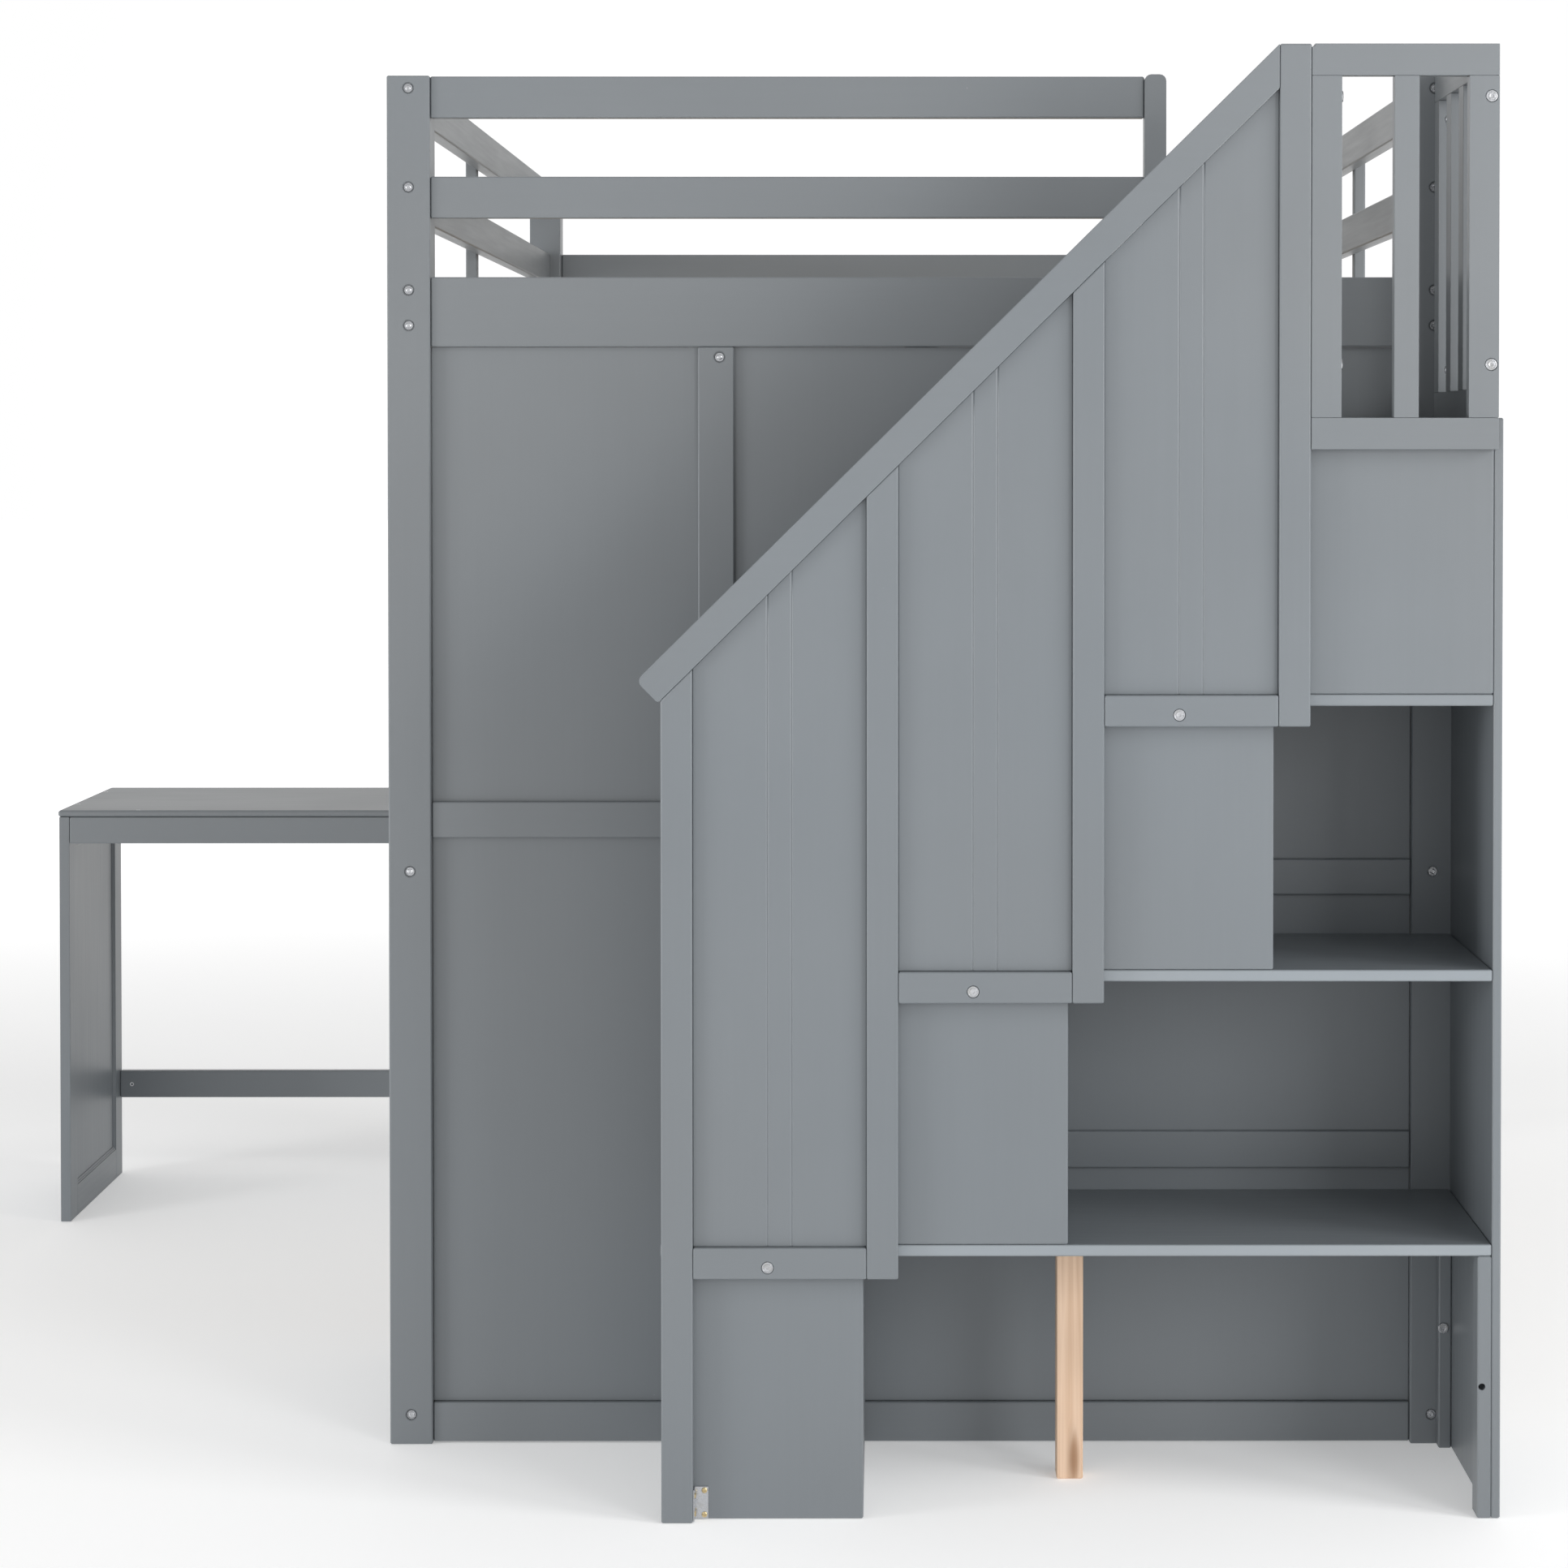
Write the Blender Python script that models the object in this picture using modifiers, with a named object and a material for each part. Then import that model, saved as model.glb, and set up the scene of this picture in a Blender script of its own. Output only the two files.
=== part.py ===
"""Loft bed with storage stairs across one end and a desk wing at the other. Metres, +Z up.

The design frame has X = 0 on the bed's centre line, Y = 0 at the outer face of the two posts
beside the stairs, with +Y along the bed towards the far end, and Z = 0 on the floor. One parent
empty then moves everything so that the origin is the centre of the footprint.
"""

import math

import bmesh
import bpy
from mathutils import Matrix, Vector

# Clearance between boards that touch, and the small chamfer along every edge.
GAP = 0.0003
EDGE = 0.0016

# Bed frame.
BED_WIDTH = 1.416
BED_LENGTH = 2.007
POST = 0.057
POST_TOP = 1.820
RECESS = 0.0055
BOARD = 0.022
RAIL_LOW, RAIL_HIGH = 1.4614, 1.554
GUARD_MID = (1.632, 1.687)
GUARD_TOP = (1.7645, 1.8195)
SIDE_BOARD_INNER = 0.6707
LEDGER = 0.020
LEDGER_HEIGHT = 0.0246
ENTRY_EDGE = 0.295
END_POST_WIDTH = 0.029
END_POST_DEPTH = 0.030
END_POST_TOP = 1.822
END_POST_RADIUS = 0.009
GUARD_UPRIGHT_Y = 0.947
GUARD_UPRIGHT = (0.018, 0.024)

# Counterbores for the bolt heads: radius and depth, and their heights on the posts.
BOLT_BORE = (0.0078, 0.0022)
BORE_SEGMENTS = 24
SIDE_RAIL_BOLTS = (1.8034, 1.6726, 1.5365, 1.4896)
LOW_FRAME_BOLTS = (0.7647, 0.0396)

# Slats and the beam below them.
SLAT_COUNT = 13
SLAT = (1.336, 0.070, 0.014)
STRAP = (0.030, 0.0026)
STRAP_X = 0.42
STRAP_LAP = 0.0008
SLAT_MARGIN = 0.010
BEAM = 0.044

# Panelled end below the mattress, on the stair side.
END_STILE = (-0.297, -0.2485)
LEFT_MID_RAIL = (0.809, 0.857)
RIGHT_MID_RAIL = (0.7325, 0.7807)
RIGHT_LOW_RAIL = (0.368, 0.4176)
FOOT_RAIL = (0.002, 0.055)
SHEET_FRONT = 0.0135
SHEET = 0.006
STILE_BOLT = (-0.2680, 1.4480)

# Low frames behind the two near posts.
LOW_FRAME_BOTTOM, LOW_FRAME_TOP = 0.012, 0.793
LOW_FRAME_RAIL = 0.056
LEFT_FRAME_LENGTH = 0.503

# Stairs.
STEP_RISE = 0.3412
STEP_GOING = 0.2535
STEPS = 4
TREAD = 0.015
BOX_BOARD = 0.015
BOX_FRONT = 0.012
NOSE = 0.012
BOX_PLANE = -0.339
GUARD_BOARD = 0.020
NEWEL_LEFT = -0.325
STILE_WIDTH = 0.0393
FOOT_RAIL_HEIGHT = 0.039
FOOT_BOLT_DROP = 0.0245
BOX_END_STEP = 0.004
STAIR_END = 0.703
SIDE_PANEL = 0.011
GUARD_PANEL_DEPTH = 0.0105
GROOVE_OFFSET = 0.015
GROOVE = 0.0016
HANDRAIL_WIDTH = 0.0384
HANDRAIL_ANGLE = math.radians(44.68)
HANDRAIL_TIP = -0.328
HANDRAIL_RADIUS = 0.010
HANDRAIL_HEEL_RADIUS = 0.003
STAIR_TOP = 1.823
BATTEN = 0.0175
FRONT_BATTEN_DEPTH = 0.038
BACK_BATTEN_DEPTH = 0.022
BATTEN_HOLE = (0.0118, 0.1638, 0.0043)
PROP_X = (0.172, 0.2065)
PROP_Y = (-0.165, -0.127)
BRACKET_LEG, BRACKET_HEIGHT, BRACKET_PLATE = 0.018, 0.040, 0.0015
BRACKET_BOTTOM = 0.001
SIDE_SCREW = (-0.3260, 0.0470, 0.0046)

# Landing railings.
LANDING_STILE = 0.037
BALUSTER = (0.5735, 0.604)
LANDING_RIGHT = 0.705
SIDE_RAILING_X = (0.679, 0.707)
SIDE_UPRIGHTS = 4
SIDE_UPRIGHT_WIDTH = 0.037
SIDE_LOW_RAIL = 0.0355
LANDING_BOLTS = (1.7590, 1.4300)
LANDING_BOLT_EDGE = 0.0096
SIDE_RAILING_BOLT_X = 0.6945

# Desk.
DESK_LEFT = -1.464
DESK_LENGTH = 1.200
DESK_Y = (1.400, 1.823)
DESK_TOP = 0.7065
DESK_BOARD = 0.0115
DESK_OVERHANG = 0.002
DESK_TOP_EDGE = 0.003
LEG_PANEL = 0.0175
LEG_FRAME = 0.053
LEG_INSET = 0.005
LEG_INSET_SLOPE = 0.0005
APRON_BOTTOM = 0.6495
DESK_RAIL = 0.018
STRETCHER = (0.141, 0.190)

# Worked-out positions.
HALF = BED_WIDTH / 2
POST_INNER = HALF - POST
FAR_POST = BED_LENGTH - POST
SIDE_BOARD_OUTER = SIDE_BOARD_INNER + BOARD
END_BOARD = (RECESS, RECESS + BOARD)
FAR_END_BOARD = (BED_LENGTH - RECESS - BOARD, BED_LENGTH - RECESS)
SLAT_BASE = RAIL_LOW + LEDGER_HEIGHT
GUARD_PLANE = BOX_PLANE - GUARD_BOARD
NEWEL_RIGHT = NEWEL_LEFT + STILE_WIDTH
TOP_NEWEL_LEFT = NEWEL_LEFT + (STEPS - 1) * STEP_GOING
TOP_NEWEL_RIGHT = TOP_NEWEL_LEFT + STILE_WIDTH
LANDING = STEPS * STEP_RISE
SLOPE = math.tan(HANDRAIL_ANGLE)
HANDRAIL_DROP = HANDRAIL_WIDTH / math.cos(HANDRAIL_ANGLE)
SIDE_PANEL_OUTER = STAIR_END + GAP + SIDE_PANEL
CENTRE = Vector(
    (
        (DESK_LEFT + SIDE_PANEL_OUTER) / 2,
        (GUARD_PLANE + BED_LENGTH) / 2,
        0.0,
    )
)


def material(name, colour, roughness, metallic=0.0):
    made = bpy.data.materials.new(name)
    made.use_nodes = True
    shader = made.node_tree.nodes["Principled BSDF"]
    shader.inputs["Base Color"].default_value = (*colour, 1.0)
    shader.inputs["Roughness"].default_value = roughness
    shader.inputs["Metallic"].default_value = metallic
    return made


def clear_scene():
    for item in list(bpy.data.objects):
        bpy.data.objects.remove(item, do_unlink=True)


def collection(name):
    made = bpy.data.collections.new(name)
    bpy.context.scene.collection.children.link(made)
    return made


def adopt(piece, finish, bevel=EDGE):
    """Files a piece under the bed's collection and parent, with its finish and chamfer."""
    for holder in list(piece.users_collection):
        holder.objects.unlink(piece)
    BED.objects.link(piece)
    piece.parent = ROOT
    piece.data.materials.clear()
    piece.data.materials.append(finish)
    if bevel:
        chamfer = piece.modifiers.new("chamfer", "BEVEL")
        chamfer.width = bevel
        chamfer.segments = 1
        chamfer.limit_method = "ANGLE"
        chamfer.angle_limit = math.radians(30)
    return piece


def box_mesh(name, x, y, z):
    """A board's mesh, half a gap inside its nominal box, except where it stands on the floor."""
    low = Vector((x[0], y[0], z[0])) + Vector((GAP, GAP, GAP if z[0] > 0 else 0.0)) / 2
    high = Vector((x[1], y[1], z[1])) - Vector((GAP, GAP, GAP)) / 2
    mesh = bpy.data.meshes.new(name)
    shape = bmesh.new()
    bmesh.ops.create_cube(shape, size=1.0)
    bmesh.ops.scale(shape, vec=high - low, verts=shape.verts)
    shape.to_mesh(mesh)
    shape.free()
    return mesh, (low + high) / 2


def board(name, x, y, z, finish=None, bevel=EDGE):
    """A square-cut board that fills x, y and z, each given as (low, high)."""
    mesh, centre = box_mesh(name, x, y, z)
    piece = bpy.data.objects.new(name, mesh)
    piece.location = centre
    return adopt(piece, finish or PAINT, bevel)


def flat_outline(name, loops, thickness, turn):
    """A flat shape cut along closed loops of points, the later loops being holes. The matrix
    turn takes its sheet from the XY plane to its place."""
    curve = bpy.data.curves.new(name, "CURVE")
    curve.dimensions = "2D"
    curve.fill_mode = "BOTH"
    curve.extrude = (thickness - GAP) / 2
    for points in loops:
        spline = curve.splines.new("POLY")
        spline.points.add(len(points) - 1)
        for point, (x, y) in zip(spline.points, points):
            point.co = (x, y, 0.0, 1.0)
        spline.use_cyclic_u = True
    guide = bpy.data.objects.new(name, curve)
    BED.objects.link(guide)
    bpy.context.view_layer.update()
    graph = bpy.context.evaluated_depsgraph_get()
    mesh = bpy.data.meshes.new_from_object(guide.evaluated_get(graph))
    bpy.data.objects.remove(guide)
    shape = bmesh.new()
    shape.from_mesh(mesh)
    bmesh.ops.remove_doubles(shape, verts=shape.verts, dist=0.00001)
    bmesh.ops.transform(shape, matrix=turn, verts=shape.verts)
    bmesh.ops.recalc_face_normals(shape, faces=shape.faces)
    shape.to_mesh(mesh)
    shape.free()
    mesh.name = name
    return mesh


def cut_sheet(name, loops, thickness, turn, finish=None, bevel=EDGE):
    piece = bpy.data.objects.new(name, flat_outline(name, loops, thickness, turn))
    return adopt(piece, finish or PAINT, bevel)


def facing_front(y_low, y_high):
    """Stands a sheet drawn in X and Z between y_low and y_high."""
    middle = Matrix.Translation((0.0, (y_low + y_high) / 2, 0.0))
    return middle @ Matrix.Rotation(math.radians(90), 4, "X")


def facing_side(x_low, x_high):
    """Stands a sheet drawn in Y and Z between x_low and x_high."""
    middle = Matrix.Translation(((x_low + x_high) / 2, 0.0, 0.0))
    return middle @ Matrix(((0, 0, 1, 0), (1, 0, 0, 0), (0, 1, 0, 0), (0, 0, 0, 1)))


def lying_flat(z_low, z_high):
    return Matrix.Translation((0.0, 0.0, (z_low + z_high) / 2))


def rectangle(x, y, inset=0.0):
    return [
        (x[0] + inset, y[0] + inset),
        (x[1] - inset, y[0] + inset),
        (x[1] - inset, y[1] - inset),
        (x[0] + inset, y[1] - inset),
    ]


def arc(centre, radius, start, end, steps=4):
    """Points on a circle from the angle start to the angle end, in degrees."""
    angles = (math.radians(start + (end - start) * step / steps) for step in range(steps + 1))
    return [(centre[0] + radius * math.cos(a), centre[1] + radius * math.sin(a)) for a in angles]


def outer_slope(x):
    """Height of the handrail's upper edge."""
    return STAIR_TOP - (TOP_NEWEL_LEFT - x) * SLOPE


def inner_slope(x):
    """Height of the handrail's lower edge."""
    return outer_slope(x) - HANDRAIL_DROP


def trim_under_handrail(mesh, place):
    """Cuts a mesh whose object stands at place along the handrail's lower edge."""
    shape = bmesh.new()
    shape.from_mesh(mesh)
    on_edge = Vector((0.0, 0.0, inner_slope(0.0) - GAP)) - place
    away = Vector((-math.sin(HANDRAIL_ANGLE), 0.0, math.cos(HANDRAIL_ANGLE)))
    cut = bmesh.ops.bisect_plane(
        shape,
        geom=shape.verts[:] + shape.edges[:] + shape.faces[:],
        plane_co=on_edge,
        plane_no=away,
        clear_outer=True,
    )
    rim = [item for item in cut["geom_cut"] if isinstance(item, bmesh.types.BMEdge)]
    bmesh.ops.edgeloop_fill(shape, edges=rim)
    bmesh.ops.recalc_face_normals(shape, faces=shape.faces)
    shape.to_mesh(mesh)
    shape.free()


def trimmed_board(name, x, y, z_low):
    """An upright whose top is cut to the slope of the handrail that it carries."""
    mesh, centre = box_mesh(name, x, y, (z_low, outer_slope(x[1])))
    trim_under_handrail(mesh, centre)
    piece = bpy.data.objects.new(name, mesh)
    piece.location = centre
    return adopt(piece, PAINT)


def framed_panel(name, x, y, z):
    """A panel on edge with a raised frame round a sunk middle on both of its X faces."""
    mesh, centre = box_mesh(name, x, y, z)
    shape = bmesh.new()
    shape.from_mesh(mesh)
    broad = [face for face in shape.faces if abs(face.normal.x) > 0.9]
    bmesh.ops.inset_individual(shape, faces=broad, thickness=LEG_FRAME, depth=0.0)
    bmesh.ops.inset_individual(shape, faces=broad, thickness=LEG_INSET_SLOPE, depth=-LEG_INSET)
    shape.to_mesh(mesh)
    shape.free()
    piece = bpy.data.objects.new(name, mesh)
    piece.location = centre
    return adopt(piece, PAINT)


def bore(piece, points, axis, radius=BOLT_BORE[0], depth=BOLT_BORE[1]):
    """Sinks round bores of one depth into the faces at points. The axis "Y" or "X" is theirs."""
    shape = bmesh.new()
    turn = Matrix.Rotation(math.radians(90), 4, "X" if axis == "Y" else "Y")
    for point in points:
        bmesh.ops.create_cone(
            shape,
            cap_ends=True,
            segments=BORE_SEGMENTS,
            radius1=radius,
            radius2=radius,
            depth=2 * depth,
            matrix=Matrix.Translation(point) @ turn,
        )
    name = f"{piece.name}_bores"
    mesh = bpy.data.meshes.new(name)
    shape.to_mesh(mesh)
    shape.free()
    cutter = bpy.data.objects.new(name, mesh)
    cutter.parent = ROOT
    cutter.hide_render = True
    cutter.display_type = "WIRE"
    HELPERS.objects.link(cutter)
    holes = piece.modifiers.new("bores", "BOOLEAN")
    holes.operation = "DIFFERENCE"
    holes.object = cutter


def make_posts():
    """The four posts. The far left one carries no low frame, so it has fewer bolts."""
    for side, sign in (("left", -1), ("right", 1)):
        x = tuple(sorted((sign * POST_INNER, sign * HALF)))
        near = board(f"post_near_{side}", x, (0.0, POST), (0.0, POST_TOP))
        far = board(f"post_far_{side}", x, (FAR_POST, BED_LENGTH), (0.0, POST_TOP))
        middle = sign * (HALF - POST / 2)
        heights = SIDE_RAIL_BOLTS + LOW_FRAME_BOLTS
        bore(near, [(middle, GAP / 2, z) for z in heights], "Y")
        heights = heights if sign > 0 else SIDE_RAIL_BOLTS
        bore(far, [(middle, BED_LENGTH - GAP / 2, z) for z in heights], "Y")


def make_end_boards():
    between = (-POST_INNER, POST_INNER)
    board("end_rail_near", between, END_BOARD, (RAIL_LOW, RAIL_HIGH))
    board("end_rail_far", between, FAR_END_BOARD, (RAIL_LOW, RAIL_HIGH))
    board("guard_mid_near", (-POST_INNER, ENTRY_EDGE), END_BOARD, GUARD_MID)
    board("guard_top_near", (-POST_INNER, ENTRY_EDGE), END_BOARD, GUARD_TOP)
    board("guard_mid_far", between, FAR_END_BOARD, GUARD_MID)
    board("guard_top_far", between, FAR_END_BOARD, GUARD_TOP)


def make_guard_end_post():
    """The short post at the stair opening, with its upper corners rounded."""
    left, right = ENTRY_EDGE + GAP / 2, ENTRY_EDGE + END_POST_WIDTH
    radius = END_POST_RADIUS
    loop = [(left, RAIL_HIGH + GAP), (right, RAIL_HIGH + GAP)]
    loop += arc((right - radius, END_POST_TOP - radius), radius, 0, 90)
    loop += arc((left + radius, END_POST_TOP - radius), radius, 90, 180)
    front = RECESS - (END_POST_DEPTH - BOARD) / 2
    cut_sheet("guard_end_post", [loop], END_POST_DEPTH, facing_front(front, front + END_POST_DEPTH))


def make_side_boards():
    along = (POST, FAR_POST)
    for side, sign in (("left", -1), ("right", 1)):
        x = tuple(sorted((sign * SIDE_BOARD_INNER, sign * SIDE_BOARD_OUTER)))
        board(f"guard_mid_{side}", x, along, GUARD_MID)
        board(f"guard_top_{side}", x, along, GUARD_TOP)
        upright_x = sorted((sign * SIDE_BOARD_OUTER, sign * (SIDE_BOARD_OUTER + GUARD_UPRIGHT[0])))
        half_width = GUARD_UPRIGHT[1] / 2
        upright_y = (GUARD_UPRIGHT_Y - half_width, GUARD_UPRIGHT_Y + half_width)
        board(f"guard_upright_{side}", upright_x, upright_y, (RAIL_LOW + EDGE, GUARD_TOP[1] - EDGE))
        make_side_rail(f"side_rail_{side}", sign)


def make_side_rail(name, sign):
    """The long rail, with the ledger that carries the slats along its lower inside edge."""
    ledger_edge = SIDE_BOARD_INNER - LEDGER
    outer, inner = SIDE_BOARD_OUTER - GAP / 2, SIDE_BOARD_INNER
    section = [
        (outer, RAIL_LOW),
        (outer, RAIL_HIGH),
        (inner, RAIL_HIGH),
        (inner, SLAT_BASE),
        (ledger_edge, SLAT_BASE),
        (ledger_edge, RAIL_LOW),
    ]
    loop = [(sign * x, z) for x, z in section]
    cut_sheet(name, [loop], FAR_POST - POST, facing_front(POST, FAR_POST))


def make_slats():
    """Slats on two webbing straps, so that they roll up as one piece."""
    length, width, depth = SLAT
    base = SLAT_BASE + GAP
    first = POST + SLAT_MARGIN
    last = FAR_POST - SLAT_MARGIN - width
    slats = bmesh.new()
    for count in range(SLAT_COUNT):
        y = first + (last - first) * count / (SLAT_COUNT - 1)
        cube = bmesh.ops.create_cube(slats, size=1.0)["verts"]
        bmesh.ops.scale(slats, vec=(length, width, depth), verts=cube)
        bmesh.ops.translate(slats, vec=(0.0, y + width / 2, base + depth / 2), verts=cube)
    mesh = bpy.data.meshes.new("slat_roll")
    slats.to_mesh(mesh)
    slats.free()
    roll = bpy.data.objects.new("slat_roll", mesh)
    adopt(roll, SLAT_WOOD, bevel=0.0)
    straps = bmesh.new()
    strap_length = last + width - first - 2 * SLAT_MARGIN
    for x in (-STRAP_X, STRAP_X):
        cube = bmesh.ops.create_cube(straps, size=1.0)["verts"]
        bmesh.ops.scale(straps, vec=(STRAP[0], strap_length, STRAP[1]), verts=cube)
        middle = (x, (first + last + width) / 2, base - STRAP[1] / 2 + STRAP_LAP)
        bmesh.ops.translate(straps, vec=middle, verts=cube)
    strap_mesh = bpy.data.meshes.new("slat_straps")
    straps.to_mesh(strap_mesh)
    straps.free()
    helper = bpy.data.objects.new("slat_straps", strap_mesh)
    helper.parent = ROOT
    helper.hide_render = True
    helper.display_type = "WIRE"
    HELPERS.objects.link(helper)
    joined = roll.modifiers.new("straps", "BOOLEAN")
    joined.operation = "UNION"
    joined.object = helper


def make_centre_beam():
    along = (END_BOARD[1], FAR_END_BOARD[0])
    top = SLAT_BASE
    board("centre_beam", (-BEAM / 2, BEAM / 2), along, (top - BEAM, top), SLAT_WOOD)


def make_panelled_end():
    """One sheet between the posts, with a stile and rails over its face."""
    face = (END_BOARD[0], SHEET_FRONT)
    stile = board("end_stile", END_STILE, face, (FOOT_RAIL[1], RAIL_LOW))
    bore(stile, [(STILE_BOLT[0], face[0] + GAP / 2, STILE_BOLT[1])], "Y")
    board("end_rail_left_mid", (-POST_INNER, END_STILE[0]), face, LEFT_MID_RAIL)
    board("end_rail_right_mid", (END_STILE[1], POST_INNER), face, RIGHT_MID_RAIL)
    board("end_rail_right_low", (END_STILE[1], POST_INNER), face, RIGHT_LOW_RAIL)
    board("end_rail_foot", (-POST_INNER, POST_INNER), END_BOARD, FOOT_RAIL)
    sheet_y = (SHEET_FRONT, SHEET_FRONT + SHEET)
    board("end_panel", (-POST_INNER, POST_INNER), sheet_y, (FOOT_RAIL[1], RAIL_LOW), bevel=0.0)


def make_low_frames():
    """Frames bolted behind the near posts: a short panelled one on the desk's side, and an
    open one down the whole of the other side."""
    x = (-SIDE_BOARD_OUTER, -SIDE_BOARD_INNER)
    z = (LOW_FRAME_BOTTOM, LOW_FRAME_TOP)
    framed_panel("low_frame_left", x, (POST, POST + LEFT_FRAME_LENGTH), z)
    inset = LOW_FRAME_RAIL
    middle = (POST + FAR_POST) / 2
    openings = (z[0] + inset, z[1] - inset)
    loops = [
        rectangle((POST, FAR_POST), z, GAP / 2),
        rectangle((POST + inset, middle - inset / 2), openings),
        rectangle((middle + inset / 2, FAR_POST - inset), openings),
    ]
    cut_sheet("low_frame_right", loops, BOARD, facing_side(SIDE_BOARD_INNER, SIDE_BOARD_OUTER))


def make_guard_uprights():
    """Uprights of the stair guard. Each one stands a step higher than the one before."""
    plane = (GUARD_PLANE, BOX_PLANE)
    names = ("newel_post", "guard_stile_low", "guard_stile_high")
    for step, name in enumerate(names):
        left = NEWEL_LEFT + step * STEP_GOING
        bottom = step * STEP_RISE - (FOOT_RAIL_HEIGHT if step else 0.0)
        trimmed_board(name, (left, left + STILE_WIDTH), plane, bottom)
    bottom = (STEPS - 1) * STEP_RISE - FOOT_RAIL_HEIGHT
    board("top_newel", (TOP_NEWEL_LEFT, TOP_NEWEL_RIGHT), plane, (bottom, STAIR_TOP))


def make_handrail():
    """The sloping rail, square across its lower end with both corners eased."""
    along = Vector((math.cos(HANDRAIL_ANGLE), math.sin(HANDRAIL_ANGLE)))
    across = Vector((-along.y, along.x))
    tip = Vector((HANDRAIL_TIP, inner_slope(HANDRAIL_TIP)))
    end_x = TOP_NEWEL_LEFT - GAP
    turn = math.degrees(HANDRAIL_ANGLE)
    upper = tip + across * (HANDRAIL_WIDTH - HANDRAIL_RADIUS) + along * HANDRAIL_RADIUS
    small = HANDRAIL_HEEL_RADIUS
    lower = tip + across * small + along * small
    loop = [(end_x, inner_slope(end_x)), (end_x, outer_slope(end_x))]
    loop += arc(upper, HANDRAIL_RADIUS, turn + 90, turn + 180, 5)
    loop += arc(lower, small, turn + 180, turn + 270, 2)
    cut_sheet("handrail", [loop], GUARD_BOARD, facing_front(GUARD_PLANE, BOX_PLANE))


def make_guard_panels():
    """Grooved panels between the uprights, and the rail under each one."""
    for step in range(STEPS - 1):
        left = NEWEL_RIGHT + step * STEP_GOING
        right = left + STEP_GOING - STILE_WIDTH
        tread_top = (step + 1) * STEP_RISE
        foot = (tread_top - FOOT_RAIL_HEIGHT, tread_top)
        rail = board(f"guard_foot_rail_{step + 1}", (left, right), (GUARD_PLANE, BOX_PLANE), foot)
        bolt_x = (left + right) / 2 - GROOVE_OFFSET
        bore(rail, [(bolt_x, GUARD_PLANE + GAP / 2, tread_top - FOOT_BOLT_DROP)], "Y")
        make_guard_panel(f"guard_panel_{step + 1}", left + GAP / 2, right - GAP / 2, tread_top)


def make_guard_panel(name, left, right, bottom):
    front, back = BOX_PLANE - GUARD_PANEL_DEPTH, BOX_PLANE - GAP
    plan = [(left, back), (left, front)]
    for centre in ((left + right) / 2 - GROOVE_OFFSET, (left + right) / 2 + GROOVE_OFFSET):
        plan += [(centre - GROOVE, front), (centre, front + GROOVE), (centre + GROOVE, front)]
    plan += [(right, front), (right, back)]
    top = outer_slope(right)
    mesh = flat_outline(name, [plan], top - bottom, lying_flat(bottom, top))
    trim_under_handrail(mesh, Vector((0.0, 0.0, 0.0)))
    adopt(bpy.data.objects.new(name, mesh), PAINT, bevel=0.0)


def nose(step):
    """Where the tread of a step starts, counting the lowest step as 0."""
    return NEWEL_LEFT - 0.002 + step * STEP_GOING


def make_treads():
    """Each tread runs on to the side panel as a shelf. The last is the landing."""
    for step in range(STEPS):
        name = "landing" if step == STEPS - 1 else f"tread_{step + 1}"
        top = (step + 1) * STEP_RISE
        board(name, (nose(step), STAIR_END), (BOX_PLANE, 0.0), (top - TREAD, top))


def make_step_boxes():
    """The closed box under each tread: riser, front and divider glued up as one carcase."""
    for step in range(STEPS):
        left = nose(step) + NOSE
        last = step == STEPS - 1
        right = STAIR_END - GAP / 2 if last else NEWEL_LEFT + (step + 1) * STEP_GOING - BOX_END_STEP
        back, front = -GAP, BOX_PLANE
        inner_front = front + BOX_FRONT
        plan = [(left, front), (right, front)]
        if last:
            plan += [(right, inner_front)]
        else:
            plan += [(right, back), (right - BOX_BOARD, back), (right - BOX_BOARD, inner_front)]
        plan += [(left + BOX_BOARD, inner_front), (left + BOX_BOARD, back), (left, back)]
        z = (step * STEP_RISE, (step + 1) * STEP_RISE - TREAD)
        cut_sheet(f"step_box_{step + 1}", [plan], z[1] - z[0], lying_flat(*z))


def make_stair_side():
    height = (0.0, LANDING)
    panel = board("stair_side_panel", (STAIR_END, SIDE_PANEL_OUTER), (BOX_PLANE, 0.0), height)
    screw_y, screw_z, screw_radius = SIDE_SCREW
    outer_face = SIDE_PANEL_OUTER - GAP / 2
    bore(panel, [(outer_face, screw_y, screw_z)], "X", radius=screw_radius)
    x = (STAIR_END - BATTEN, STAIR_END)
    below = (0.0, STEP_RISE - TREAD)
    front = board("front_batten", x, (BOX_PLANE, BOX_PLANE + FRONT_BATTEN_DEPTH), below)
    hole_x, hole_z, hole_radius = BATTEN_HOLE
    hole = (STAIR_END - hole_x, BOX_PLANE, hole_z)
    bore(front, [hole], "Y", radius=hole_radius, depth=2 * FRONT_BATTEN_DEPTH)
    board("back_batten", x, (-BACK_BATTEN_DEPTH, 0.0), below)
    board("prop_leg", PROP_X, PROP_Y, below, PINE)


def make_bracket():
    """The folded steel bracket that ties the newel post to the lowest box."""
    corner_x, corner_y = NEWEL_RIGHT + GAP / 2, BOX_PLANE - GAP / 2
    plan = [
        (corner_x, corner_y),
        (corner_x, corner_y - BRACKET_LEG),
        (corner_x + BRACKET_PLATE, corner_y - BRACKET_LEG),
        (corner_x + BRACKET_PLATE, corner_y - BRACKET_PLATE),
        (corner_x + BRACKET_LEG, corner_y - BRACKET_PLATE),
        (corner_x + BRACKET_LEG, corner_y),
    ]
    z = (BRACKET_BOTTOM, BRACKET_BOTTOM + BRACKET_HEIGHT)
    cut_sheet("corner_bracket", [plan], BRACKET_HEIGHT, lying_flat(*z), STEEL, bevel=0.0003)


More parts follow.
